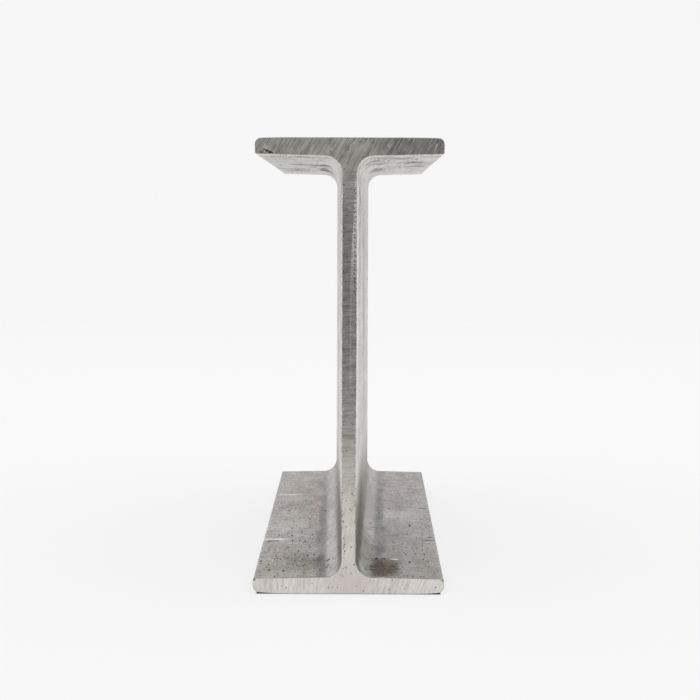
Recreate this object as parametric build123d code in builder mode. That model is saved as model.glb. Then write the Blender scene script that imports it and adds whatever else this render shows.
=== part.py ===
from build123d import *
import math
import os

# Short length of steel H-beam, one solid, standing on its lower flange.
# Millimetres. X runs across the flanges, Y along the beam, Z up.
# The origin is on the floor, under the middle of the beam's length and width.
# The front end, the one with the thinner walls, faces -Y.

# Overall sizes
beam_height = 240.0
beam_length = 300.0

# Flanges, measured at the front end
upper_flange_width = 98.5
lower_flange_width = 101.0
upper_toe_height = 8.8
lower_toe_height = 8.3
upper_root_height = 9.9
lower_root_height = 9.2

# Web, measured at the front end
web_thickness = 7.7

# How much each wall has gained at the back end
web_side_gain = 7.2
flange_inside_gain = 4.4

# Rounding
root_radius = 8.8
inner_toe_radius = 1.1
outer_toe_radius = 2.8
edge_break = 0.45

# The outer faces are flat in the middle and fall away a little towards the toes
upper_face_fall = 0.35
lower_face_fall = 0.95
upper_fall_width = 20.0
lower_fall_width = 17.0

# A long edge of the beam is one that runs for most of its length
long_edge_share = 0.9

web_draft = math.degrees(math.atan(web_side_gain / beam_length))
flange_draft = math.degrees(math.atan(flange_inside_gain / beam_length))
front_plane = Plane.XZ.offset(beam_length / 2)


def distance_from_middle(shape):
    """How far a face or an edge lies to either side of the web's middle plane."""
    return abs(shape.center().X)


def distance_from_mid_height(shape):
    """How far a face or an edge lies above or below half the beam's height."""
    return abs(shape.center().Z - beam_height / 2)


def is_inside_flange_face(face):
    """The four sloping flange faces that look into the two side channels."""
    below_outer_face = distance_from_mid_height(face) < beam_height / 2 - lower_toe_height / 2
    return abs(face.normal_at().Z) > abs(face.normal_at().X) and below_outer_face


def long_edges(part):
    """The edges that run from the front end to the back end."""
    return part.edges().filter_by(lambda edge: edge.length > beam_length * long_edge_share)


def half_section():
    """Outline of the +X half of the front end, with sharp corners."""
    web_side = web_thickness / 2
    lower_toe = lower_flange_width / 2
    upper_toe = upper_flange_width / 2
    lower_flat = lower_toe - lower_fall_width
    upper_flat = upper_toe - upper_fall_width

    Line((0, 0), (lower_flat, 0))
    TangentArc((lower_flat, 0), (lower_toe, lower_face_fall), tangent=(1, 0))
    Polyline(
        (lower_toe, lower_face_fall),
        (lower_toe, lower_toe_height),
        (web_side, lower_root_height),
        (web_side, beam_height - upper_root_height),
        (upper_toe, beam_height - upper_toe_height),
        (upper_toe, beam_height - upper_face_fall),
    )
    TangentArc(
        (upper_flat, beam_height),
        (upper_toe, beam_height - upper_face_fall),
        tangent=(1, 0),
    )
    Line((upper_flat, beam_height), (0, beam_height))
    Line((0, beam_height), (0, 0))


with BuildPart() as steel_beam:

    # The rolled bar, both halves of the section carried along the length
    with BuildSketch(Plane.XZ) as section:
        with BuildLine():
            half_section()
        make_face()
        mirror(about=Plane.YZ)
    extrude(amount=beam_length / 2, both=True)

    # The walls grow from the front end to the back end
    web_sides = steel_beam.faces().filter_by(Plane.YZ).sort_by(distance_from_middle)[:2]
    draft(web_sides, neutral_plane=front_plane, angle=web_draft)
    inside_faces = steel_beam.faces().filter_by(GeomType.PLANE).filter_by(is_inside_flange_face)
    draft(inside_faces, neutral_plane=front_plane, angle=flange_draft)

    # Fillets where the web meets the flanges
    root_edges = long_edges(steel_beam).sort_by(distance_from_middle)[:4]
    fillet(root_edges, radius=root_radius)

    # Rounded toes, the inner edge of each flange first and then the outer edge
    toe_edges = long_edges(steel_beam).sort_by(distance_from_middle)[-8:]
    inner_toe_edges = toe_edges.sort_by(distance_from_mid_height)[:4]
    fillet(inner_toe_edges, radius=inner_toe_radius)
    toe_edges = long_edges(steel_beam).sort_by(distance_from_middle)[-12:]
    outer_toe_edges = toe_edges.sort_by(distance_from_mid_height)[-4:]
    fillet(outer_toe_edges, radius=outer_toe_radius)

    # The sawn ends have their sharp edges knocked off
    end_faces = steel_beam.faces().sort_by(Axis.Y)
    end_edges = end_faces[0].edges() + end_faces[-1].edges()
    chamfer(end_edges, length=edge_break)

steel_beam.part.label = "steel_beam"

os.makedirs("parts", exist_ok=True)
export_step(steel_beam.part, "parts/steel_beam.step")
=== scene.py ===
import math
import random

import bpy
from mathutils import Euler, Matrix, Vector


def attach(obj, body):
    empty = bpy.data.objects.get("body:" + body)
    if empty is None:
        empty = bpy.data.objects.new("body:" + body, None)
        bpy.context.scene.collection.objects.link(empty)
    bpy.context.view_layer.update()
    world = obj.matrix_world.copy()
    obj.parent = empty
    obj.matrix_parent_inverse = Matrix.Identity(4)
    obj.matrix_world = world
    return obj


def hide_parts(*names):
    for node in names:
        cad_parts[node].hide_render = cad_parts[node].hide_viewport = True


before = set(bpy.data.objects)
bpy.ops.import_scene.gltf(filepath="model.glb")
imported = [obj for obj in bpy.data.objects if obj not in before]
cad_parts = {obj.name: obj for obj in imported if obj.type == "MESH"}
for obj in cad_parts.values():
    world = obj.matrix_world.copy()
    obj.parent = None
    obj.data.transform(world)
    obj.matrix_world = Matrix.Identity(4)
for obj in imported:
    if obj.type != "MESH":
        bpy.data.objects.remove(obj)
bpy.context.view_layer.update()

# Short steel beam standing on its lower flange: its surfaces, its stage and its camera.
# Metres, in the frame of the solid: X across the flanges, Y along the beam, Z up.
# The front end faces -Y.

MM = 0.001

# The beam's sizes, as in the solid
LENGTH = 300 * MM
HEIGHT = 240 * MM
UPPER_WIDTH = 98.5 * MM
LOWER_WIDTH = 101 * MM
UPPER_TOE = 8.8 * MM
LOWER_TOE = 8.3 * MM
UPPER_ROOT = 9.9 * MM
LOWER_ROOT = 9.2 * MM
WEB = 7.7 * MM
WEB_GAIN = 7.2 * MM
FLANGE_GAIN = 4.4 * MM
ROOT_RADIUS = 8.8 * MM
INNER_TOE_RADIUS = 1.1 * MM
UPPER_FALL = 0.35 * MM
LOWER_FALL = 0.95 * MM
UPPER_FALL_WIDTH = 20 * MM
LOWER_FALL_WIDTH = 17 * MM

FRONT = -LENGTH / 2
BACK = LENGTH / 2
TINY = 0.02 * MM

# How much of the sawn ends' sharp outline is knocked off, and the rounding of worn toes
EDGE_BREAK = 0.3 * MM
OUTER_TOE_RADIUS = 3.2 * MM

# Zones that are divided more finely
FRONT_ZONE = 12 * MM
BACK_ZONE = 12 * MM
RIM_ZONE = 2.6 * MM
WEB_LOW = 19 * MM
WEB_HIGH = 220 * MM

# Ground facet on the right of the web's front face: its border as (x, z), and its depth
FACET_BORDER = (
    (0.5 * MM, 96 * MM), (0.6 * MM, 166 * MM), (1.25 * MM, 188 * MM), (2.1 * MM, 199 * MM),
    (2.8 * MM, 219 * MM),
)
FACET_DEPTH = 0.22 * MM


# Selecting in code

def deselect_all():
    """Nothing stays selected, the solids that were loaded included."""
    bpy.ops.object.select_all(action="DESELECT")


def go_to(mode):
    """Changes between object mode and edit mode."""
    bpy.ops.object.mode_set(mode=mode)


def pick(piece, kind, test):
    """In edit mode, selects only the corners, edges or faces that pass the test.

    The test gets a corner's place, both ends of an edge, or a face's centre and normal.
    """
    go_to("EDIT")
    bpy.ops.mesh.select_mode(type=kind)
    bpy.ops.mesh.select_all(action="DESELECT")
    go_to("OBJECT")
    mesh = piece.data
    corners = mesh.vertices
    if kind == "FACE":
        chosen = [test(face.center, face.normal) for face in mesh.polygons]
        mesh.polygons.foreach_set("select", chosen)
    elif kind == "EDGE":
        pairs = [edge.vertices for edge in mesh.edges]
        chosen = [test(corners[first].co, corners[second].co) for first, second in pairs]
        mesh.edges.foreach_set("select", chosen)
    else:
        corners.foreach_set("select", [test(corner.co) for corner in corners])
    go_to("EDIT")


def cut(place, normal):
    """Cuts the whole mesh along a plane."""
    bpy.ops.mesh.select_all(action="SELECT")
    bpy.ops.mesh.bisect(plane_co=place, plane_no=normal)


def move_picked(x=0.0, y=0.0, z=0.0):
    """Moves what is picked."""
    bpy.ops.transform.translate(value=(x, y, z))


def near(value, wanted):
    """True where two lengths are the same but for a tiny difference."""
    return abs(value - wanted) < TINY


# Where the faces lie

def web_side(y):
    """How far the web's side stands from the middle plane at a place along the beam."""
    return WEB / 2 + WEB_GAIN * (y - FRONT) / LENGTH


def lower_inside(x, y):
    """Height of the lower flange's inside face."""
    share = (LOWER_WIDTH / 2 - abs(x)) / (LOWER_WIDTH / 2 - WEB / 2)
    return LOWER_TOE + (LOWER_ROOT - LOWER_TOE) * share + FLANGE_GAIN * (y - FRONT) / LENGTH


def upper_inside(x, y):
    """Height of the upper flange's inside face."""
    share = (UPPER_WIDTH / 2 - abs(x)) / (UPPER_WIDTH / 2 - WEB / 2)
    depth = UPPER_TOE + (UPPER_ROOT - UPPER_TOE) * share + FLANGE_GAIN * (y - FRONT) / LENGTH
    return HEIGHT - depth


def front_end(x, z):
    """Where the front end's face lies along the beam, ground facet included."""
    for low, high in zip(FACET_BORDER, FACET_BORDER[1:]):
        if low[1] < z < high[1]:
            border = low[0] + (high[0] - low[0]) * (z - low[1]) / (high[1] - low[1])
            share = (x - border) / (WEB / 2 - EDGE_BREAK - border)
            height_share = (z - FACET_BORDER[0][1]) / (40 * MM)
            return FRONT + FACET_DEPTH * max(0.0, min(1.0, share, height_share))
    return FRONT


# Both flanges, as (side of mid-height, outer height, width, toe, root, fall, fall width)
FLANGES = (
    (-1, 0.0, LOWER_WIDTH, LOWER_TOE, LOWER_ROOT, LOWER_FALL, LOWER_FALL_WIDTH),
    (1, HEIGHT, UPPER_WIDTH, UPPER_TOE, UPPER_ROOT, UPPER_FALL, UPPER_FALL_WIDTH),
)


# The beam's body

def rough_out_section(beam):
    """Web block with both flanges pulled out of it, still with sharp corners."""
    go_to("EDIT")
    for side, outer, width, toe, root, *_ in FLANGES:
        cut((0, 0, outer - side * root), (0, 0, 1))
    for side, outer, width, toe, root, *_ in FLANGES:
        for hand in (-1, 1):
            pick(beam, "FACE", lambda centre, normal: (
                (normal[0] * hand > 0.9) and (abs(centre[2] - outer) < root)))
            reach = hand * (width - WEB) / 2
            bpy.ops.mesh.extrude_region_move(TRANSFORM_OT_translate={"value": (reach, 0, 0)})
        pick(beam, "VERT", lambda corner: (
            near(abs(corner[0]), width / 2) and near(corner[2], outer - side * root)))
        move_picked(z=side * (root - toe))


def thicken_towards_back(beam):
    """The walls gain on their inside faces from the front end to the back end."""
    for side, outer, width, toe, root, *_ in FLANGES:
        slope = (root - toe) / ((width - WEB) / 2)
        for hand in (-1, 1):
            pick(beam, "VERT", lambda corner: (
                near(corner[1], BACK)
                and near(corner[0], hand * WEB / 2)
                and near(corner[2], outer - side * root)))
            move_picked(x=hand * WEB_GAIN, z=-side * (FLANGE_GAIN - slope * WEB_GAIN))
        pick(beam, "VERT", lambda corner: (
            near(corner[1], BACK)
            and near(abs(corner[0]), width / 2)
            and near(corner[2], outer - side * toe)))
        move_picked(z=-side * FLANGE_GAIN)


def join_end_faces(beam):
    """Each sawn end is one flat face."""
    for towards in (-1, 1):
        pick(beam, "FACE", lambda centre, normal: normal[1] * towards > 0.99)
        bpy.ops.mesh.dissolve_faces()


def round_roots(beam):
    """Fillets where the web meets the flanges."""
    reach = WEB / 2 + WEB_GAIN + TINY

    def is_root(start, end):
        runs_along = abs(start[1] - end[1]) > LENGTH / 2
        above = min(start[2], end[2]) > LOWER_ROOT - TINY
        below = max(start[2], end[2]) < HEIGHT - UPPER_ROOT + TINY
        return runs_along and above and below and (max(abs(start[0]), abs(end[0])) < reach)

    pick(beam, "EDGE", is_root)
    bpy.ops.mesh.bevel(offset=ROOT_RADIUS, segments=10, profile=0.5, affect="EDGES")


def let_outer_faces_fall(beam):
    """Both outer faces curve away a little towards the toes."""
    steps = 4
    for side, outer, width, toe, root, fall, fall_width in FLANGES:
        flat = width / 2 - fall_width
        for step in range(steps):
            place = flat + fall_width * step / steps
            for hand in (-1, 1):
                pick(beam, "FACE", lambda centre, normal: abs(centre[2] - outer) < HEIGHT / 4)
                bpy.ops.mesh.bisect(plane_co=(hand * place, 0, 0), plane_no=(1, 0, 0))
        for step in range(1, steps + 1):
            place = flat + fall_width * step / steps
            pick(beam, "VERT", lambda corner: (
                near(abs(corner[0]), place) and near(corner[2], outer)))
            move_picked(z=-side * fall * (step / steps) ** 2)


def round_toes(beam):
    """A small radius inside and a larger one outside on each flange's toe."""
    for side, outer, width, toe, *_ in FLANGES:
        def is_toe_edge(start, end):
            return (abs(start[1] - end[1]) > LENGTH / 2) and near(abs(start[0]), width / 2)

        def is_inner_toe(start, end):
            depth = abs(start[2] - outer)
            return is_toe_edge(start, end) and (depth > toe / 2) and (depth < HEIGHT / 2)

        pick(beam, "EDGE", is_inner_toe)
        bpy.ops.mesh.bevel(offset=INNER_TOE_RADIUS, segments=5, profile=0.5, affect="EDGES")
        pick(beam, "EDGE", lambda start, end: (
            is_toe_edge(start, end) and (abs(start[2] - outer) < toe / 4)))
        bpy.ops.mesh.bevel(offset=OUTER_TOE_RADIUS, segments=6, profile=0.5, affect="EDGES")


def break_end_edges(beam):
    """The sharp outline of each sawn end is knocked off."""
    pick(beam, "FACE", lambda centre, normal: abs(normal[1]) > 0.99)
    bpy.ops.mesh.region_to_loop()
    bpy.ops.mesh.bevel(offset=EDGE_BREAK, segments=2, profile=0.5, affect="EDGES")


# Dividing the body for its relief

def cut_levels():
    """Level cuts up the web and upright cuts across the flanges."""
    go_to("EDIT")
    levels = 60
    for level in range(levels + 1):
        cut((0, 0, WEB_LOW + (WEB_HIGH - WEB_LOW) * level / levels), (0, 0, 1))
    for place in (24, 28, 35.5, 39.5, 43.5, 47):
        for hand in (-1, 1):
            cut((hand * place * MM, 0, 0), (1, 0, 0))


def grind_web_facet(beam):
    """The right of the web's front face is ground back in a slightly tilted facet."""
    for low, high in zip(FACET_BORDER, FACET_BORDER[1:]):
        pick(beam, "FACE", lambda centre, normal: (
            normal.y < -0.99 and abs(centre.x) < WEB / 2 and low[1] < centre.z < high[1]))
        across = (high[1] - low[1], 0, low[0] - high[0])
        bpy.ops.mesh.bisect(plane_co=(low[0], 0, low[1]), plane_no=across)
    foot = FACET_BORDER[0][1]
    top = FACET_BORDER[-1][1]
    stages = 5
    for stage in range(stages):
        pick(beam, "VERT", lambda corner: (
            near(corner.y, FRONT + FACET_DEPTH * stage / stages)
            and WEB / 2 - EDGE_BREAK - TINY < corner.x < WEB / 2
            and foot + 8 * MM * stage < corner.z < top))
        move_picked(y=FACET_DEPTH / stages)


def divide_along(beam, low, high, cuts):
    """Cuts the stretch between two places along the beam into strips."""
    def crosses(start, end):
        inside = (min(start[1], end[1]) > low - TINY) and (max(start[1], end[1]) < high + TINY)
        return inside and (abs(start[1] - end[1]) > (high - low) * 0.5)

    pick(beam, "EDGE", crosses)
    bpy.ops.mesh.subdivide(number_cuts=cuts)


def divide_for_relief(beam):
    """Even strips along the beam, finer behind the front end."""
    cut((0, FRONT + FRONT_ZONE, 0), (0, 1, 0))
    cut((0, BACK - BACK_ZONE, 0), (0, 1, 0))
    divide_along(beam, FRONT + EDGE_BREAK, FRONT + FRONT_ZONE, 10)
    divide_along(beam, FRONT + FRONT_ZONE, BACK - BACK_ZONE, 90)
    divide_along(beam, BACK - BACK_ZONE, BACK - EDGE_BREAK, 4)
    pick(beam, "FACE", lambda centre, normal: (
        (centre[1] < FRONT + RIM_ZONE) and (abs(normal[1]) < 0.9)))
    bpy.ops.mesh.subdivide(number_cuts=2)


# Relief

def looks_inside(corner):
    """True on what looks into the side channels, fillets included."""
    above = corner[2] > LOWER_TOE
    below = corner[2] < HEIGHT - UPPER_TOE
    return above and below and (abs(corner[0]) < UPPER_WIDTH / 2 - INNER_TOE_RADIUS)


def raise_burr(beam):
    """Behind the knocked-off front edge: a shallow saw groove and then a low burr."""
    steps = ((0.45, 0.07), (1.0, -0.16), (1.5, -0.10), (2.1, 0.10), (2.6, 0.05))
    for place, height in steps:
        pick(beam, "VERT", lambda corner: (
            (abs(corner[1] - FRONT - place * MM) < 0.2 * MM) and looks_inside(corner)))
        bpy.ops.transform.shrink_fatten(value=height * MM)


def roughen_rim(beam):
    """The knocked-off front edge is a little ragged."""
    pick(beam, "VERT", lambda corner: (
        (corner[1] > FRONT + 0.1 * MM) and (corner[1] < FRONT + 0.6 * MM) and looks_inside(corner)))
    bpy.ops.transform.vertex_random(offset=0.12 * MM, uniform=0.0, normal=0.0, seed=4)


def mark_rolled_faces(beam):
    """The rolled faces fade out towards the sawn ends, so that these stay flat."""
    group = beam.vertex_groups.new(name="rolled")
    for vertex in beam.data.vertices:
        to_end = min(vertex.co.y - FRONT, BACK - vertex.co.y)
        share = (to_end - EDGE_BREAK) / (4 * MM)
        group.add([vertex.index], max(0.0, min(1.0, share)), "REPLACE")


def add_waves(beam, name, size, stretch, strength):
    """Uneven rolling marks, stretched along the beam, that only ever sink into the steel."""
    deselect_all()
    bpy.ops.object.empty_add(location=(0, 0, 0))
    frame_of_waves = bpy.context.active_object
    frame_of_waves.scale = (1, stretch, 1)
    deselect_all()
    beam.select_set(True)
    bpy.context.view_layer.objects.active = beam
    pattern = bpy.data.textures.new(name, "CLOUDS")
    pattern.noise_scale = size
    pattern.noise_depth = 2
    waves = beam.modifiers.new(name, "DISPLACE")
    waves.texture = pattern
    waves.texture_coords = "OBJECT"
    waves.texture_coords_object = frame_of_waves
    waves.direction = "NORMAL"
    waves.vertex_group = "rolled"
    waves.mid_level = 1.0
    waves.strength = strength
    bpy.ops.object.modifier_apply(modifier=waves.name)
    bpy.data.objects.remove(frame_of_waves)


# Pits and nicks

def model_cutter(name):
    """One lopsided lump; its copies are sunk into the steel to leave pits."""
    deselect_all()
    bpy.ops.mesh.primitive_ico_sphere_add(subdivisions=2, radius=1.0)
    lump = bpy.context.active_object
    lump.name = name
    go_to("EDIT")
    bpy.ops.mesh.select_all(action="SELECT")
    bpy.ops.transform.vertex_random(offset=0.16, uniform=0.0, normal=0.0, seed=7)
    go_to("OBJECT")
    return lump


# Pits that stand out, as (x, y) on the lower flange, in millimetres
LOWER_PITS = (
    (39.1, 39.6), (38.7, 85.4), (46.6, 78.8), (24.4, 22.9), (32.1, 21.1), (36.2, -24.8),
    (29.7, -4.4), (30.8, -44.6), (28.2, -51.6), (30.0, -73.4), (41.5, -86.1), (31.7, -97.4),
    (33.4, -115.6), (42.2, -97.2), (32.5, -81.5), (11.7, -30.8), (15.4, -108.4),
    (11.0, -107.0), (12.0, -126.3), (11.6, -130.7), (48.4, 56.8), (17.9, 10.8),
    (-30.6, 19.7), (-22.6, 21.9), (-33.3, 44.3), (-24.6, -9.4), (-46.5, -17.4), (-39.1, 17.5),
    (-34.6, -17.1), (-35.1, -33.6), (-30.3, -31.7), (-24.2, -31.5), (-36.8, -47.8),
    (-41.8, -51.3), (-34.2, -52.9), (-31.4, -52.8), (-33.2, -66.4), (-24.5, -59.5),
    (-22.2, -50.1), (-29.2, -66.4), (-40.8, -104.0), (-36.3, -104.9), (-34.0, -107.4),
    (-28.0, -105.8), (-25.7, -110.3), (-30.0, -113.9), (-31.0, -131.5), (-28.7, -136.8),
    (-38.0, -141.6), (-42.8, -133.2), (-35.1, -82.9), (-26.0, -82.7), (-28.8, -91.2),
    (-48.4, -114.3), (-30.9, -5.7), (-25.9, -5.6), (-29.5, 46.5), (-16.0, 14.0),
    (-34.2, -55.5), (-26.0, -58.2), (-24.1, -61.5), (-21.1, -55.2), (-25.8, -68.3),
    (-38.0, -109.5), (-30.5, -99.1), (-27.7, -109.6), (-28.3, -123.9), (-24.9, -124.7),
    (-27.0, -135.0), (-44.0, -120.4), (-23.2, -101.9), (-19.6, -101.2), (-48.0, -91.7),
    (-35.2, -135.2), (-39.1, -147.5), (34.1, -48.1), (41.3, -108.2), (31.4, -121.8),
)
# Pits that stand out, as (x, z) on the front end, in millimetres
FRONT_PITS = (
    (-44.5, 233.4), (-43.2, 232.7), (-0.9, 235.0), (-0.8, 233.6), (-1.6, 237.0), (8.0, 239.0),
    (-9.9, 232.9), (-9.4, 231.5), (-7.8, 237.0), (5.0, 237.8), (12.6, 237.1), (20.2, 235.0),
    (-35.1, 4.1), (-19.2, 5.6), (-10.7, 3.5), (-8.3, 3.6), (-5.6, 3.6), (-4.7, 5.2),
    (-3.0, 9.7), (-2.6, 13.6), (4.1, 4.3), (8.0, 1.7), (29.5, 3.0), (46.2, 3.8), (3.0, 15.8),
    (-2.3, 31.1), (-2.5, 29.7), (-2.3, 28.3), (-2.1, 26.6), (-2.3, 25.2), (-2.7, 24.1),
    (-2.0, 22.9), (-2.3, 21.5), (-2.4, 19.4), (1.8, 53.5), (2.6, 52.5), (2.9, 49.3),
    (0.8, 45.4), (1.2, 34.3), (-2.9, 38.6), (-2.9, 50.7), (-2.7, 42.8), (-1.4, 199.5),
    (-2.9, 198.0), (-3.0, 207.1), (-3.1, 193.2), (-3.0, 188.9), (-2.9, 210.6), (-1.8, 165.0),
    (-0.9, 143.0), (1.5, 91.0), (2.2, 90.2), (-1.2, 76.5),
)


def pit_places():
    """(place, half sizes, turn) of everything that is sunk into the steel."""
    chance = random.Random(11)
    pits = []

    def add(place, size, turn=(0, 0, 0)):
        spot = Vector(place)
        reach = max(size)
        if all((spot - Vector(other[0])).length > reach + max(other[1]) for other in pits):
            pits.append((place, size, turn))

    def on_lower(x, y, wide, long, deep):
        add((x * MM, y * MM, lower_inside(x * MM, y * MM) - 0.12 * MM),
            (wide * MM, long * MM, deep * MM))

    def on_upper(x, y, wide, long, deep):
        add((x * MM, y * MM, upper_inside(x * MM, y * MM) + 0.1 * MM),
            (wide * MM, long * MM, deep * MM))

    def on_front(x, z, wide, tall, deep, turn=0.0):
        place = (x * MM, front_end(x * MM, z * MM), z * MM)
        add(place, (wide * MM, deep * MM, tall * MM), (0, turn, 0))

    # Grooves across the lower flange near its toes, and dents by the brown stain
    on_lower(-45.0, -66.0, 4.6, 0.9, 0.45)
    on_lower(45.6, -62.0, 4.3, 0.8, 0.4)
    on_lower(47.0, -54.5, 2.0, 0.8, 0.35)
    on_lower(46.2, 26.5, 3.4, 0.9, 0.45)
    on_lower(19.0, -109.0, 1.7, 1.1, 0.45)
    on_lower(15.2, -108.6, 0.9, 1.6, 0.45)
    on_lower(36.2, -25.2, 0.8, 2.2, 0.5)
    # Short nicks beside the brown stain, and along the left toe
    for x, y in ((25.8, -119.7), (24.9, -125.3), (26.1, -131.0), (12.2, -127.0), (12.0, -133.5)):
        on_lower(x, y, 1.3, 0.7, 0.3)
    for y in (-104.4, -111.6, -118.6):
        on_lower(-48.4, y, 0.9, 0.6, 0.3)
    for x, y in LOWER_PITS:
        wide = chance.uniform(0.22, 0.55)
        on_lower(x, y, wide, wide * chance.uniform(2.2, 4.5), chance.uniform(0.3, 0.45))
    for x, z in FRONT_PITS:
        size = chance.uniform(0.18, 0.36)
        on_front(x, z, size, size * chance.uniform(0.8, 1.3), 0.3)
    # Dark scar at the upper flange's left end, slanting down to its lower edge
    for step in range(5):
        on_front(-44.7 + 1.1 * step, 233.9 - 0.46 * step, 0.56, 0.3, 0.45, 0.4)
    # Slanting nicks on the facet, and notches along both edges of the web
    for step in range(24):
        z = 160 + step * 2.3 + chance.uniform(-0.4, 0.4)
        lean = 0.5 if z > 197 else -0.55
        on_front(chance.uniform(2.6, 3.1), z, 0.24, chance.uniform(0.6, 0.95), 0.3, lean)
    for step in range(60):
        z = 36 + step * 3.05 + chance.uniform(-1.2, 1.2)
        size = chance.uniform(0.12, 0.24)
        on_front(chance.choice((-3.25, 3.3, -3.3)), z, size, size * chance.uniform(1.0, 2.2), 0.2)
    # Scattered pits, closer together towards the front
    for count in range(220):
        hand = chance.choice((-1, 1))
        y = FRONT / MM + 3 + 200 * chance.random() ** 1.7
        wide = chance.uniform(0.12, 0.32)
        on_lower(hand * chance.uniform(14, 48), y, wide, wide * chance.uniform(2, 5), 0.28)
    for count in range(40):
        hand = chance.choice((-1, 1))
        y = FRONT / MM + 6 + 230 * chance.random()
        wide = chance.uniform(0.3, 0.7)
        on_upper(hand * chance.uniform(15, 46), y, wide, wide * chance.uniform(3, 7), 0.3)
    # On the web's sides, more of them towards the top of the right side
    for count in range(110):
        hand = chance.choice((-1, 1))
        y = FRONT / MM + 4 + 285 * chance.random()
        z = 35 + 170 * chance.random()
        size = chance.uniform(0.2, 0.6)
        place = (hand * web_side(y * MM), y * MM, z * MM)
        add(place, (0.22 * MM, size * chance.uniform(1, 3) * MM, size * MM))
    return pits


def sink_lumps(beam, lump, places, material_index):
    """Copies of the lump, joined, are cut out of the beam."""
    copies = []
    for place, size, turn in places:
        copy = lump.copy()
        copy.data = lump.data.copy()
        bpy.context.collection.objects.link(copy)
        copy.location = place
        copy.scale = size
        copy.rotation_euler = turn
        copies.append(copy)
    deselect_all()
    for copy in copies:
        copy.select_set(True)
    bpy.context.view_layer.objects.active = copies[0]
    bpy.ops.object.join()
    bpy.ops.object.transform_apply(location=True, rotation=True, scale=True)
    cutter = bpy.context.active_object
    for material in beam.data.materials:
        cutter.data.materials.append(material)
    cutter.data.polygons.foreach_set("material_index", [material_index] * len(cutter.data.polygons))
    deselect_all()
    beam.select_set(True)
    bpy.context.view_layer.objects.active = beam
    sinking = beam.modifiers.new("pits", "BOOLEAN")
    sinking.operation = "DIFFERENCE"
    sinking.solver = "EXACT"
    sinking.object = cutter
    bpy.ops.object.modifier_apply(modifier=sinking.name)
    bpy.data.objects.remove(cutter)
    bpy.data.objects.remove(lump)


def merge_slivers():
    """Faces without any width, left where pits cross other edges, are merged away."""
    go_to("EDIT")
    bpy.ops.mesh.select_all(action="SELECT")
    bpy.ops.mesh.dissolve_degenerate(threshold=0.002 * MM)
    go_to("OBJECT")


def make_beam(finishes):
    """The whole beam as one closed mesh."""
    deselect_all()
    bpy.ops.mesh.primitive_cube_add(size=1, location=(0, 0, HEIGHT / 2),
                                    scale=(WEB, LENGTH, HEIGHT))
    beam = bpy.context.active_object
    beam.name = "rolled_beam"
    bpy.ops.object.transform_apply(location=True, rotation=True, scale=True)
    rough_out_section(beam)
    thicken_towards_back(beam)
    join_end_faces(beam)
    round_roots(beam)
    let_outer_faces_fall(beam)
    round_toes(beam)
    break_end_edges(beam)
    cut_levels()
    grind_web_facet(beam)
    divide_for_relief(beam)
    raise_burr(beam)
    roughen_rim(beam)
    go_to("OBJECT")
    mark_rolled_faces(beam)
    add_waves(beam, "long_waves", 0.025, 3.0, 0.20 * MM)
    add_waves(beam, "short_waves", 0.009, 4.0, 0.05 * MM)
    for finish in finishes:
        beam.data.materials.append(finish)
    give_finishes(beam)
    sink_lumps(beam, model_cutter("pit_lump"), pit_places(), PIT)
    merge_slivers()
    bpy.ops.object.shade_smooth_by_angle(angle=math.radians(21))
    keep_borders_crisp(beam)
    return beam


def keep_borders_crisp(beam):
    """No smooth shading runs across from one finish to another."""
    mesh = beam.data
    finish_beside = {}
    crisp = set()
    for face in mesh.polygons:
        for key in face.edge_keys:
            if finish_beside.setdefault(key, face.material_index) != face.material_index:
                crisp.add(key)
    for edge in mesh.edges:
        if edge.key in crisp:
            edge.use_edge_sharp = True


ROLLED, SAWN, EDGE, PIT = range(4)


def give_finishes(beam):
    """Rolled skin everywhere, sawn ends, and bright knocked-off edges round them."""
    for face in beam.data.polygons:
        to_end = LENGTH / 2 - abs(face.center.y)
        if to_end > EDGE_BREAK:
            face.material_index = ROLLED
        elif abs(face.normal.y) > 0.98:
            face.material_index = SAWN
        else:
            face.material_index = EDGE


# Nodes

def node(tree, kind, inputs=None, **settings):
    """Adds a node. Its inputs are numbers, colours or sockets to join."""
    made = tree.nodes.new("ShaderNode" + kind)
    for name, value in settings.items():
        setattr(made, name, value)
    for name, value in (inputs or {}).items():
        join(value, made.inputs[name])
    return made


def join(value, socket):
    """Joins a socket, or sets a plain value. A colour is made opaque."""
    if isinstance(value, bpy.types.NodeSocket):
        socket.id_data.links.new(value, socket)
    elif socket.type == "RGBA":
        socket.default_value = (*value, 1.0)
    else:
        socket.default_value = value


def tree_of(values):
    """The node tree that the first socket among some values belongs to."""
    return next(value.id_data for value in values if isinstance(value, bpy.types.NodeSocket))


def maths(operation, *values):
    """Runs a sum over all the values, one after another, or on the only one."""
    total = values[0]
    for value in values[1:] or (0.0,):
        made = node(tree_of(values), "Math", {0: total, 1: value}, operation=operation)
        total = made.outputs[0]
    return total


def times(*values):
    """The product of some values."""
    return maths("MULTIPLY", *values)


def plus(*values):
    """The sum of some values."""
    return maths("ADD", *values)


def minus(first, second):
    """The difference of two values."""
    return maths("SUBTRACT", first, second)


def most(*values):
    """The largest of some values."""
    return maths("MAXIMUM", *values)


def ranged(value, low, high, to_low=0.0, to_high=1.0, smooth=True):
    """Takes a value from one range to another, with soft ends."""
    made = node(value.id_data, "MapRange", {
        "Value": value, "From Min": low, "From Max": high, "To Min": to_low, "To Max": to_high})
    made.interpolation_type = "SMOOTHSTEP" if smooth else "LINEAR"
    return made.outputs["Result"]


def zone(length, low, high, to_low=0.0, to_high=1.0):
    """The same for a length, between two limits in millimetres."""
    return ranged(length, low * MM, high * MM, to_low, to_high)


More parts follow.
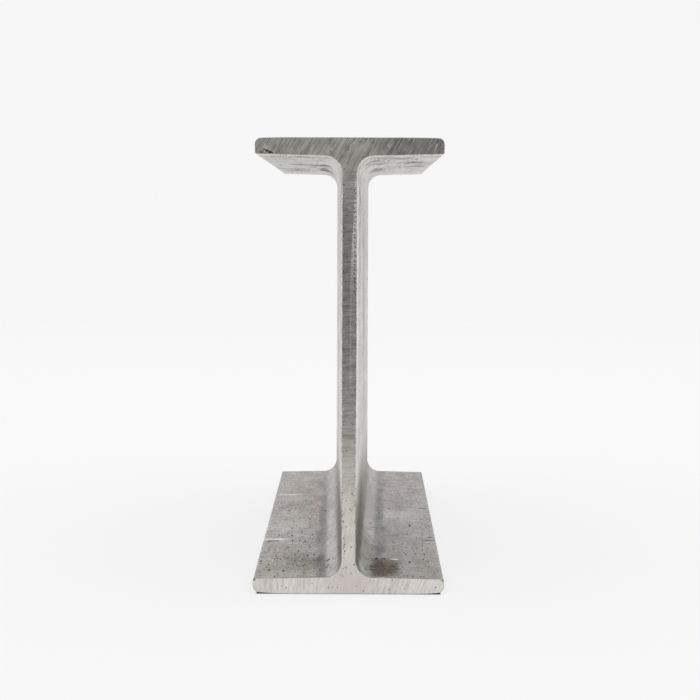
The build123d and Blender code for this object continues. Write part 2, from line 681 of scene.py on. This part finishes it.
def stretched(vector, scale=(1, 1, 1), turn=(0, 0, 0), place=(0, 0, 0)):
    """Moves, turns and stretches the coordinates of a pattern."""
    made = node(vector.id_data, "Mapping", {
        "Vector": vector, "Location": place, "Rotation": turn, "Scale": scale})
    return made.outputs["Vector"]


def noise(vector, scale, detail=2.0, roughness=0.5, distortion=0.0):
    """Soft random values."""
    made = node(vector.id_data, "TexNoise", {
        "Vector": vector, "Scale": scale, "Detail": detail, "Roughness": roughness,
        "Distortion": distortion})
    return made.outputs["Fac"]


def blend(factor, first, second, way="MIX"):
    """Blends two colours."""
    made = node(tree_of((factor, first, second)), "Mix", data_type="RGBA", blend_type=way)
    join(factor, made.inputs[0])
    join(first, made.inputs[6])
    join(second, made.inputs[7])
    return made.outputs[2]


def start_group(name, numbers):
    """A node group with a place and some numbers going in."""
    tree = bpy.data.node_groups.new(name, "ShaderNodeTree")
    tree.interface.new_socket("Place", in_out="INPUT", socket_type="NodeSocketVector")
    for number, value in numbers.items():
        socket = tree.interface.new_socket(number, in_out="INPUT", socket_type="NodeSocketFloat")
        socket.default_value = value
    return tree, tree.nodes.new("NodeGroupInput").outputs


def end_group(tree, results):
    """Names what comes out of a node group."""
    for name in results:
        tree.interface.new_socket(name, in_out="OUTPUT", socket_type="NodeSocketFloat")
    out = tree.nodes.new("NodeGroupOutput")
    for name, value in results.items():
        tree.links.new(value, out.inputs[name])
    return tree


def use_group(group, place, **inputs):
    """Uses a node group on a place, with its other inputs by name."""
    inputs["Place"] = place
    made = node(place.id_data, "Group", node_tree=group)
    for name, value in inputs.items():
        join(value, made.inputs[name])
    return made.outputs


def make_dots_group():
    """Small dots of uneven size, some cells left empty."""
    tree, given = start_group("scale_dots", {"Fineness": 600, "Cover": 0.5})
    cells = node(tree, "TexVoronoi", {"Vector": given["Place"], "Scale": given["Fineness"]})
    shade = node(tree, "SeparateColor", {"Color": cells.outputs["Color"]})
    radius = times(shade.outputs[1], 0.42)
    inside = minus(radius, cells.outputs["Distance"])
    soft = ranged(inside, 0, 0.14)
    present = maths("LESS_THAN", shade.outputs[0], given["Cover"])
    return end_group(tree, {"Mask": times(soft, present)})


def make_lines_group():
    """Fine drawn lines along X of the given place, of two widths."""
    tree, given = start_group("drawn_lines", {"Fineness": 1500.0})
    fine_place = stretched(given["Place"], scale=(0.035, 1, 1))
    fine = noise(fine_place, given["Fineness"], 4, 0.65)
    wide_place = stretched(given["Place"], scale=(0.04, 0.25, 0.25), place=(0.3, 0.1, 0.2))
    wide = noise(wide_place, given["Fineness"], 2, 0.5)
    both = plus(times(fine, 0.7), times(wide, 0.3))
    long_place = stretched(given["Place"], scale=(0.05, 0.8, 0.8), place=(0.8, 0.4, 0.6))
    long = noise(long_place, given["Fineness"], 1, 0.4)
    return end_group(tree, {"Grain": both, "Scratch": ranged(long, 0.57, 0.66)})


def make_mottle_group():
    """Blotches of three sizes, from 0 to 1."""
    tree, given = start_group("mottling", {"Size": 30.0})
    large = noise(given["Place"], given["Size"], 3, 0.6, 0.4)
    small_place = stretched(given["Place"], scale=(4, 4, 4), place=(0.7, 0.2, 0.4))
    small = noise(small_place, given["Size"], 3, 0.6)
    fine_place = stretched(given["Place"], scale=(22, 22, 22))
    fine = noise(fine_place, given["Size"], 2, 0.6)
    results = {
        "Large": ranged(large, 0.32, 0.68),
        "Small": ranged(small, 0.32, 0.68),
        "Fine": fine,
    }
    return end_group(tree, results)


def make_spot_group():
    """A soft ragged patch round a centre, strongest in the middle."""
    tree, given = start_group("ragged_spot", {"Ragged": 0.5})
    tree.interface.new_socket("Centre", in_out="INPUT", socket_type="NodeSocketVector")
    tree.interface.new_socket("Reach", in_out="INPUT", socket_type="NodeSocketVector")
    away = node(tree, "VectorMath", {0: given["Place"], 1: given["Centre"]}, operation="SUBTRACT")
    share = node(tree, "VectorMath", {0: away.outputs[0], 1: given["Reach"]}, operation="DIVIDE")
    length = node(tree, "VectorMath", {0: share.outputs[0]}, operation="LENGTH").outputs["Value"]
    uneven = times(minus(given["Ragged"], 0.5), 1.2)
    return end_group(tree, {"Mask": ranged(plus(length, uneven), 1.2, 0.3)})


dots_group = make_dots_group()
lines_group = make_lines_group()
mottle_group = make_mottle_group()
spot_group = make_spot_group()


# Finishes

def start_finish(name, metallic):
    """An empty finish with its shader, and the place on the piece."""
    material = bpy.data.materials.new(name)
    material.use_nodes = True
    tree = material.node_tree
    shader = tree.nodes["Principled BSDF"]
    shader.inputs["Metallic"].default_value = metallic
    place = node(tree, "TexCoord").outputs["Object"]
    return material, tree, shader, place


def end_finish(tree, shader, colour, roughness, height, depth):
    """Joins colour, roughness and relief to the shader."""
    join(colour, shader.inputs["Base Color"])
    join(roughness, shader.inputs["Roughness"])
    bump = node(tree, "Bump", {"Height": height, "Distance": depth})
    join(bump.outputs["Normal"], shader.inputs["Normal"])


def spot(place, centre, reach, ragged, strength):
    """How much of a patch shows; centre and reach in millimetres."""
    centre = tuple(value * MM for value in centre)
    reach = tuple(value * MM for value in reach)
    patch = use_group(spot_group, place, Centre=centre, Reach=reach, Ragged=ragged)
    return times(patch["Mask"], strength)


def sawn_end():
    """Sawn and dressed steel: fine lines that lie differently on flanges and web."""
    material, tree, shader, place = start_finish("sawn_steel", 1)
    x, y, z = node(tree, "SeparateXYZ", {0: place}).outputs
    upper = zone(z, 214, 228)
    lower = zone(z, 76, 40)
    upper_place = stretched(place, turn=(0, math.radians(59), 0))
    web_place = stretched(place, turn=(0, math.radians(5), 0))
    # On the lower flange the lines fan out from a point far below
    fan_centre = 200 * MM
    aside = plus(x, 40 * MM)
    angle = maths("DIVIDE", aside, plus(z, fan_centre))
    fan = node(tree, "CombineXYZ", {0: z, 2: times(angle, fan_centre)})
    upper_lines = use_group(lines_group, upper_place, Fineness=2200)
    web_lines = use_group(lines_group, web_place, Fineness=3000)
    lower_lines = use_group(lines_group, fan.outputs[0], Fineness=2700)

    def by_zone(name):
        mixed = node(tree, "Mix", {0: upper, 2: web_lines[name], 3: upper_lines[name]})
        return node(tree, "Mix", {0: lower, 2: mixed.outputs[0], 3: lower_lines[name]}).outputs[0]

    grain = by_zone("Grain")
    scratch = by_zone("Scratch")
    large, small, fine = use_group(mottle_group, place, Size=55)
    dots = use_group(dots_group, place, Fineness=700, Cover=0.1)["Mask"]

    # Colour: warm, with painted shade that darkens it up the web, and darker on the upper flange's
    # right half
    colour = blend(large, (0.72, 0.68, 0.635), (0.83, 0.79, 0.745))
    shade_up_web = blend(small, (0.46, 0.443, 0.415), (0.59, 0.568, 0.54))
    colour = blend(zone(z, 40, 104), colour, shade_up_web)
    top = blend(small, (0.74, 0.72, 0.67), (0.95, 0.925, 0.865))
    colour = blend(zone(z, 190, 228), colour, top)
    right = times(zone(x, 6, 26), upper)
    colour = blend(times(right, 0.58), colour, (0.34, 0.325, 0.305))

    # The ground facet beside the web's right edge is paler, most of all high up
    lean = times(zone(z, 160, 220), 2.3 * MM)
    border = plus(lean, 0.5 * MM)
    tooth = times(minus(fine, 0.5), 1.6 * MM)
    beyond = minus(plus(x, tooth), border)
    facet = times(zone(beyond, -0.15, 0.25), zone(z, 150, 194, 0.1, 0.95))
    ridge = times(zone(beyond, -0.25, 0.15), zone(beyond, 0.9, 0.4, 0, 0.4))
    facet = times(most(facet, ridge), zone(z, 90, 120), zone(z, 222, 216), zone(y, 0, -10))
    colour = blend(facet, colour, (0.66, 0.645, 0.61))
    join(minus(1, times(facet, 0.85)), shader.inputs["Metallic"])

    # Lines, bright scratches and dark dots
    shade = ranged(grain, 0.38, 0.58)
    soften = blend(lower, (0.64, 0.63, 0.615), (0.72, 0.71, 0.695))
    soften = blend(upper, soften, (0.54, 0.53, 0.515))
    darker = blend(1, colour, soften, "MULTIPLY")
    colour = blend(shade, darker, colour)
    middle = times(zone(maths("ABSOLUTE", x), 16, 6), zone(z, 26, 8, 0, 0.85))
    colour = blend(middle, colour, (0.62, 0.57, 0.54))
    shown = times(scratch, zone(z, 205, 226, 0.3, 0.9))
    colour = blend(shown, colour, (0.93, 0.91, 0.87))
    colour = blend(times(dots, 0.6), colour, (0.14, 0.125, 0.11))
    for nick_x, nick_z, size in ((-43.8, 234.9, 0.7), (45, 235.9, 0.4), (20.3, 235.6, 0.5),
                                 (-9.6, 233.6, 0.5), (-12, 232.6, 0.4)):
        nick = spot(place, (nick_x, -150, nick_z), (size, 5, 1.6 * size), scratch, 0.8)
        colour = blend(nick, colour, (0.95, 0.93, 0.89))
    # Dark scar that slants down to the lower edge, dirt beside it and at the lower corners
    slant = node(tree, "CombineXYZ", {0: x, 1: y, 2: plus(z, times(x, 0.42))})
    scar = spot(slant.outputs[0], (-42.5, -150, 215.1), (2.9, 5, 0.5), fine, 0.95)
    for dirt_x, dirt_z, wide, tall, strength in (
            (-41.3, 232.2, 1.4, 0.7, 0.9), (-45.6, 232.3, 1.6, 0.9, 0.5),
            (-50.3, 7.8, 1.5, 1.3, 0.8), (50.3, 7.8, 1.5, 1.3, 0.8)):
        darkening = spot(place, (dirt_x, -150, dirt_z), (wide, 5, tall), fine, strength)
        scar = most(scar, darkening)
    colour = blend(scar, colour, (0.05, 0.047, 0.043))
    roughness = ranged(grain, 0.3, 0.7, 0.24, 0.36, smooth=False)
    height = minus(grain, times(dots, 1.5))
    end_finish(tree, shader, colour, roughness, height, 0.03 * MM)
    return material


def bright_edge():
    """The knocked-off edges: bright under the upper flange, duller and broken lower down."""
    material, tree, shader, place = start_finish("bright_edge", 1)
    z = node(tree, "SeparateXYZ", {0: place}).outputs["Z"]
    small, fine = use_group(mottle_group, place, Size=80)[1:]
    colour = blend(small, (0.62, 0.605, 0.58), (0.9, 0.89, 0.86))
    colour = blend(ranged(fine, 0.46, 0.36, 0, 0.8), colour, (0.24, 0.23, 0.215))
    colour = blend(zone(z, 60, 12), colour, (0.42, 0.4, 0.375))
    colour = blend(zone(z, 234, 238, 0, 0.75), colour, (0.22, 0.21, 0.2))
    dark = times(zone(z, 60, 40), zone(z, 12, 18))
    colour = blend(times(dark, 0.7), colour, (0.16, 0.15, 0.145))
    roughness = ranged(fine, 0.3, 0.7, 0.22, 0.42)
    end_finish(tree, shader, colour, roughness, fine, 0.04 * MM)
    return material


def pit_scale():
    """Dark scale left in the pits."""
    material, tree, shader, place = start_finish("pit_scale", 0.2)
    small, fine = use_group(mottle_group, place, Size=200)[1:]
    colour = blend(small, (0.012, 0.01, 0.009), (0.05, 0.043, 0.038))
    end_finish(tree, shader, colour, 0.75, fine, 0.05 * MM)
    return material


def rolled_skin():
    """Rolled faces: pale up the web, mottled and smeared on the lower flange."""
    material, tree, shader, place = start_finish("rolled_steel", 0.9)
    x, y, z = node(tree, "SeparateXYZ", {0: place}).outputs
    wide = maths("ABSOLUTE", x)
    right = zone(x, -1, 1)
    long_place = stretched(place, scale=(1, 0.3, 1))
    large, small, fine = use_group(mottle_group, long_place, Size=36)
    smear_place = stretched(place, scale=(0.8, 0.35, 1), place=(0.1, 0.3, 0))
    smear, ragged, scuff = use_group(mottle_group, smear_place, Size=60)
    streak = noise(stretched(place, scale=(0.28, 0.8, 0.8)), 330, 4, 0.65)
    grit = noise(stretched(place, scale=(1, 0.04, 1)), 800, 3, 0.6)
    hatch = noise(stretched(place, scale=(0.2, 1, 0.2)), 480, 2, 0.6)
    grains = noise(stretched(place, scale=(1, 0.34, 1)), 1150, 2, 0.7)
    speck_place = stretched(place, scale=(1, 0.4, 1))
    speckle = use_group(dots_group, speck_place, Fineness=400, Cover=0.7)["Mask"]
    dots = use_group(dots_group, speck_place, Fineness=330, Cover=0.14)["Mask"]
    solid = ranged(ragged, 0, 1, 0.32, 0.68)
    above_foot = zone(z, 3, 6.5)
    inside = times(zone(z, 237, 234), above_foot)
    low_only = times(zone(z, 26, 16), above_foot)

    # Lower flange: mauve far back, grey in the middle, olive towards the front
    mauve = blend(large, (0.31, 0.25, 0.225), (0.44, 0.39, 0.36))
    grey = blend(small, (0.34, 0.31, 0.29), (0.51, 0.48, 0.46))
    low = blend(zone(y, 60, 0, 0.25, 0.75), mauve, grey)
    low = blend(times(smear, 0.35), low, (0.27, 0.245, 0.235))
    low = blend(ranged(scuff, 0.35, 0.7, 0, 0.3), low, (0.58, 0.565, 0.555))
    low = blend(zone(x, 4, 20, 0, 0.2), low, (0.2, 0.185, 0.175))
    low = blend(ranged(streak, 0.46, 0.34, 0, 0.55), low, (0.2, 0.185, 0.178))
    low = blend(ranged(streak, 0.54, 0.66, 0, 0.5), low, (0.66, 0.645, 0.635))
    low = blend(ranged(grains, 0.5, 0.36, 0, 0.65), low, (0.16, 0.148, 0.138))
    low = blend(ranged(grains, 0.52, 0.66, 0, 0.55), low, (0.66, 0.645, 0.63))
    low = blend(1, low, (0.95, 0.945, 0.94), "MULTIPLY")
    to_front = zone(y, -40, -145)
    olive = times(to_front, ranged(small, 0.2, 0.9, 0.1, 0.55))
    low = blend(olive, low, (0.255, 0.235, 0.195))

    # Outer faces: calmer, with fine lines along the beam
    outer = blend(0.5, low, (0.4, 0.385, 0.37))
    outer = blend(ranged(grit, 0.36, 0.6, 0.45, 0), outer, (0.22, 0.21, 0.2))

    # Upper flange's underside and the web's sides: silvery, streaked along the beam
    silver = blend(large, (0.585, 0.56, 0.535), (0.765, 0.735, 0.7))
    silver = blend(ranged(ragged, 0, 1, 0, 0.28), silver, (0.42, 0.405, 0.39))
    shaded = times(zone(x, 2, 8, 0, 0.12), zone(z, 214, 190))
    under_left = times(zone(x, -6, -12, 0, 0.1), zone(z, 214, 226))
    shaded = most(shaded, under_left)
    silver = blend(shaded, silver, (0.25, 0.24, 0.225))
    silver = blend(ranged(grit, 0.4, 0.62, 0.25, 0), silver, (0.2, 0.19, 0.18))
    colour = blend(zone(z, 22, 60), low, silver)
    colour = blend(zone(z, 236.2, 237.6, 0, 0.9), colour, outer)

    # Fillets of the lower flange are lighter with a painted highlight, scratched across, with a
    # painted dark shade band at their foot and painted shade above them
    foot = plus(times(y, WEB_GAIN / LENGTH), WEB / 2 + WEB_GAIN / 2 + ROOT_RADIUS)
    from_foot = minus(foot, wide)
    # Painted highlight: the fillets are made lighter
    fillet_highlight = times(zone(from_foot, -1, 2.5), zone(from_foot, 8.4, 5.6), zone(z, 24, 18),
                  ranged(small, 0.1, 0.9, 0.1, 0.65))
    colour = blend(fillet_highlight, colour, (0.58, 0.555, 0.55))
    in_fillet = times(zone(from_foot, -2, 0.5), zone(z, 34, 24), zone(y, 20, -50, 0.15, 1))
    bright = times(in_fillet, ranged(hatch, 0.56, 0.7, 0, 0.6))
    colour = blend(bright, colour, (0.78, 0.76, 0.75))
    dark = times(in_fillet, ranged(hatch, 0.44, 0.32, 0, 0.65))
    colour = blend(dark, colour, (0.17, 0.155, 0.15))
    # Painted shade: a dark band along the fillets' foot, shifted by side and along the beam
    drift = times(minus(small, 0.5), 1.2 * MM)
    drift = plus(drift, zone(y, 60, -90, -0.8 * MM, 1.2 * MM), times(right, 1.4 * MM))
    from_band = maths("ABSOLUTE", plus(from_foot, 0.6 * MM, drift))
    foot_shade_band = times(zone(from_band, 4.6, 0.6), low_only, zone(y, 140, -20, 0.65, 1),
                 ranged(right, 0, 1, 0.75, 1), ranged(small, 0, 1, 0.75, 1))
    colour = blend(foot_shade_band, colour, (0.125, 0.125, 0.13))
    # Painted shade on the web's lower sides and the fillets' upper part, with a ragged top edge
    lift = times(minus(ragged, 0.5), 12 * MM)
    root_top = zone(plus(z, lift), 64, 24)
    root = times(zone(from_foot, 6.4, 8.4), root_top, zone(y, 60, -60, 0.15, 0.8),
                 ranged(right, 0, 1, 0.7, 1))

    # Faint ragged stains down the web's sides near the front, bending under the upper flange
    bend = plus(1, times(zone(z, 208, 227), 2))
    sway = times(minus(small, 0.5), 18 * MM)
    behind = plus(times(minus(y, FRONT), bend), sway)
    above = times(zone(z, 40, 80), inside)
    rubbed = times(zone(behind, 56, 18, 0, 0.42), above)
    colour = blend(rubbed, colour, (0.9, 0.87, 0.83))
    stripe = times(zone(behind, 46, 60), zone(behind, 92, 74),
                   ranged(smear, 0.1, 0.7, 0.4, 1), zone(z, 110, 190, 0.2, 1))
    second = times(zone(behind, 130, 165), zone(behind, 225, 185), zone(z, 206, 190, 0, 0.4))
    stripes = times(plus(stripe, second), above, ranged(grit, 0.36, 0.64, 0.1, 0.65))

    # Stains, smudges and rubbed patches, and a painted highlight on the far wall of the groove by
    # the left toe
    for centre, reach, strength, edge, stain_and_highlight in (
            ((-23, 30, 10), (4, 34, 6), 0.5, ragged, (0.33, 0.24, 0.225)),
            ((-38, -30, 9), (14, 16, 6), 0.35, ragged, (0.6, 0.59, 0.59)),
            ((30, -60, 9), (16, 62, 8), 0.5, solid, (0.26, 0.245, 0.225)),
            ((30, 6, 10), (15, 15, 6), 0.38, grains, (0.66, 0.665, 0.665)),
            # Painted highlight: the lit far wall of the groove near the left toe
            ((-44, -61, 9), (9, 2.6, 6), 0.75, solid, (0.8, 0.79, 0.77)),
            ((-40, 67, 10), (12, 3.2, 6), 0.75, solid, (0.76, 0.745, 0.73)),
            ((10, -104, 12), (8, 72, 12), 0.8, solid, (0.17, 0.157, 0.135)),
            ((33, -126, 9), (11, 36, 8), 0.55, solid, (0.25, 0.247, 0.245)),
            ((12, 35, 14), (6, 95, 9), 0.5, solid, (0.22, 0.205, 0.195)),
            ((34, 28, 10), (12, 40, 6), 0.3, solid, (0.24, 0.225, 0.215)),
            ((-28, 78, 10), (17, 30, 6), 0.35, solid, (0.26, 0.235, 0.22)),
            ((-33, -143, 9), (19, 11, 6), 0.3, solid, (0.55, 0.525, 0.495)),
            ((35, -141, 9), (12, 9, 6), 0.2, grains, (0.64, 0.64, 0.63)),
            ((12, -132, 11), (6, 22, 8), 0.4, solid, (0.17, 0.157, 0.135))):
        colour = blend(spot(place, centre, reach, edge, strength), colour, stain_and_highlight)
    brown = spot(place, (18.6, -134, 9), (7.2, 24, 9), solid, 0.95)
    fringe = spot(place, (19.2, -130, 9), (10.2, 26, 9), streak, 0.85)
    brown = ranged(most(brown, fringe), 0.05, 0.95, 0, 0.85)
    brown = times(brown, zone(y, -107, -112))
    patchy = blend(ranged(grains, 0.35, 0.65), (0.052, 0.034, 0.018), (0.17, 0.124, 0.083))
    colour = blend(brown, colour, patchy)
    glint = spot(place, (25, -109.8, 9), (3, 1.6, 6), solid, 0.9)
    colour = blend(glint, colour, (0.88, 0.86, 0.82))
    colour = blend(above_foot, outer, colour)
    # Painted shade in the hollow just behind the front edge, low on the web and the fillets
    rim_hollow_shade = times(ranged(y, FRONT + 8 * MM, FRONT + 1.5 * MM), zone(z, 10, 14),
                   zone(z, 46, 22, 0, 0.8))
    # Darkening: painted shade at the web's foot and behind the front edge, together with stains
    # down the web's sides and dirt smudges on both flanges
    darkening = most(root, stripes, rim_hollow_shade)
    for centre, reach, strength in (
            ((16, -110, 9), (8, 5, 9), 0.5),
            ((-26, -112, 9), (12, 24, 9), 0.22),
            ((-36, 30, 9), (12, 14, 9), 0.18),
            ((-18, -20, 231), (8, 18, 6), 0.7),
            ((-16, 60, 229), (6, 34, 6), 0.7),
            ((-33, -22, 230), (6, 6, 6), 0.6),
            ((-36, 70, 229), (9, 26, 6), 0.4),
            ((13, -84, 231), (6, 14, 6), 0.5),
            ((13, -46, 231), (6, 12, 6), 0.45),
            ((14, 40, 230), (7, 30, 6), 0.45),
            ((37, -55, 230), (8, 14, 6), 0.5),
            ((40, 0, 230), (6, 14, 6), 0.5),
            ((29, -112, 231), (14, 7, 6), 0.45)):
        darkening = most(darkening, spot(place, centre, reach, ragged, strength))
    darkening = times(darkening, inside)
    colour = blend(darkening, colour, (0.1, 0.093, 0.087))

    # Speckle, thicker towards the front of the lower flange
    spread = ranged(low_only, 0, 1, 0.3, 1)
    speckled = times(speckle, zone(y, 60, -110, 0.15, 0.95),
                     ranged(small, 0.1, 0.8, 0.45, 1), spread)
    colour = blend(speckled, colour, (0.085, 0.078, 0.068))
    dotted = times(dots, zone(y, 90, -60, 0.15, 0.85), spread)
    colour = blend(dotted, colour, (0.06, 0.053, 0.047))

    grain = plus(fine, times(ragged, 0.3))
    roughness = ranged(small, 0, 1, 0.34, 0.48)
    roughness = plus(roughness, times(most(darkening, brown), 0.5))
    marks = most(darkening, speckled, dotted, brown, times(foot_shade_band, 0.7))
    join(minus(0.9, times(marks, 0.75)), shader.inputs["Metallic"])
    height = minus(grain, times(dots, 1.4))
    end_finish(tree, shader, colour, roughness, height, 0.05 * MM)
    return material


beam = make_beam([rolled_skin(), sawn_end(), bright_edge(), pit_scale()])
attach(beam, "root")
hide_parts("steel_beam")


# Stage

def pale_world():
    """Even pale surroundings, darker behind the camera, which the metal mirrors."""
    world = bpy.data.worlds.new("pale_room")
    bpy.context.scene.world = world
    world.use_nodes = True
    tree = world.node_tree
    background = tree.nodes["Background"]
    background.inputs["Strength"].default_value = 1.0
    way = node(tree, "SeparateXYZ", {0: node(tree, "TexCoord").outputs["Generated"]})
    room = ranged(way.outputs["Y"], -0.99, -0.3, 0.31, 0.88)
    seen = node(tree, "LightPath").outputs["Is Camera Ray"]
    shown = node(tree, "Mix", {0: seen, 2: room, 3: 0.925}).outputs[0]
    join(shown, background.inputs["Color"])


def pale_floor():
    """A round pale floor that keeps the shadow and fades into the surroundings."""
    deselect_all()
    under = (0, 0, -0.1 * MM)
    bpy.ops.mesh.primitive_circle_add(vertices=96, radius=3, fill_type="NGON", location=under)
    floor = bpy.context.active_object
    floor.name = "floor"
    material, tree, shader, place = start_finish("pale_floor", 0)
    shader.inputs["Roughness"].default_value = 1.0
    shader.inputs["Specular IOR Level"].default_value = 0.0
    glow = node(tree, "Emission", {"Color": (0.925, 0.925, 0.925), "Strength": 1.0})
    ray = node(tree, "LightPath").outputs
    seen = most(ray["Is Camera Ray"], ray["Is Glossy Ray"])
    # A painted contact shadow: the beam's own footprint stays dark
    x, y = node(tree, "SeparateXYZ", {0: place}).outputs[:2]
    half_width = LOWER_WIDTH / 2 - 1.6 * MM
    past_side = minus(maths("ABSOLUTE", x), half_width)
    past_end = minus(maths("ABSOLUTE", y), LENGTH / 2)
    past = most(past_side, past_end)
    outside = zone(past, -0.8, 0.5)
    floor_with_painted_shadow = blend(outside, (0.06, 0.06, 0.06), (0.86, 0.86, 0.86))
    join(floor_with_painted_shadow, shader.inputs["Base Color"])
    share = times(seen, times(outside, 0.78))
    lit = node(tree, "MixShader",
               {0: share, 1: shader.outputs["BSDF"], 2: glow.outputs["Emission"]})
    away = stretched(place, place=(0, -0.6, 0))
    length = node(tree, "VectorMath", {0: away}, operation="LENGTH").outputs["Value"]
    fade = ranged(length, 1.08, 1.32)
    # Seen from below there is no floor, and the beam's own underside isn't kept dark by it
    below = node(tree, "NewGeometry").outputs["Backfacing"]
    fade = most(fade, below)
    unseen = minus(1, ray["Is Camera Ray"])
    covered = times(unseen, zone(past, -0.3, -1.2))
    fade = most(fade, covered)
    clear = node(tree, "BsdfTransparent")
    mix = node(tree, "MixShader", {0: fade, 1: lit.outputs["Shader"], 2: clear.outputs["BSDF"]})
    join(mix.outputs["Shader"], tree.nodes["Material Output"].inputs["Surface"])
    floor.data.materials.append(material)


def overhead_lamp():
    """One wide soft lamp above."""
    lamp = bpy.data.lights.new("overhead", "AREA")
    lamp.shape = "RECTANGLE"
    lamp.size = 4.0
    lamp.size_y = 4.0
    lamp.energy = 29.0
    holder = bpy.data.objects.new("overhead", lamp)
    holder.location = (0, 0.1, 1.6)
    bpy.context.collection.objects.link(holder)


# Camera

CAMERA_DISTANCE = 800 * MM
CAMERA_SIDE = 6.2 * MM
CAMERA_HEIGHT = 205.5 * MM
CAMERA_PITCH = math.radians(3.867)
CAMERA_YAW = math.radians(0.415)
CAMERA_ROLL = math.radians(0.185)
CAMERA_SHIFT = -0.06
IMAGE_WIDTH = 700
FOCAL_PIXELS = 1537.5
SENSOR_WIDTH = 36.0


def set_camera():
    """Stands in front of the beam's front end, a little below the upper flange."""
    data = bpy.data.cameras.new("camera")
    data.sensor_width = SENSOR_WIDTH
    data.lens = FOCAL_PIXELS / IMAGE_WIDTH * SENSOR_WIDTH
    data.shift_y = CAMERA_SHIFT
    data.clip_start = 0.01
    camera = bpy.data.objects.new("camera", data)
    bpy.context.collection.objects.link(camera)
    turn = Euler((0, 0, CAMERA_YAW)).to_matrix()
    tilt = Euler((math.pi / 2 - CAMERA_PITCH, 0, 0)).to_matrix()
    roll = Euler((0, 0, CAMERA_ROLL)).to_matrix()
    camera.matrix_world = (turn @ tilt @ roll).to_4x4()
    camera.location = (CAMERA_SIDE, FRONT - CAMERA_DISTANCE, CAMERA_HEIGHT)
    bpy.context.scene.camera = camera


pale_world()
pale_floor()
overhead_lamp()
set_camera()

bpy.context.scene.view_settings.view_transform = "Standard"
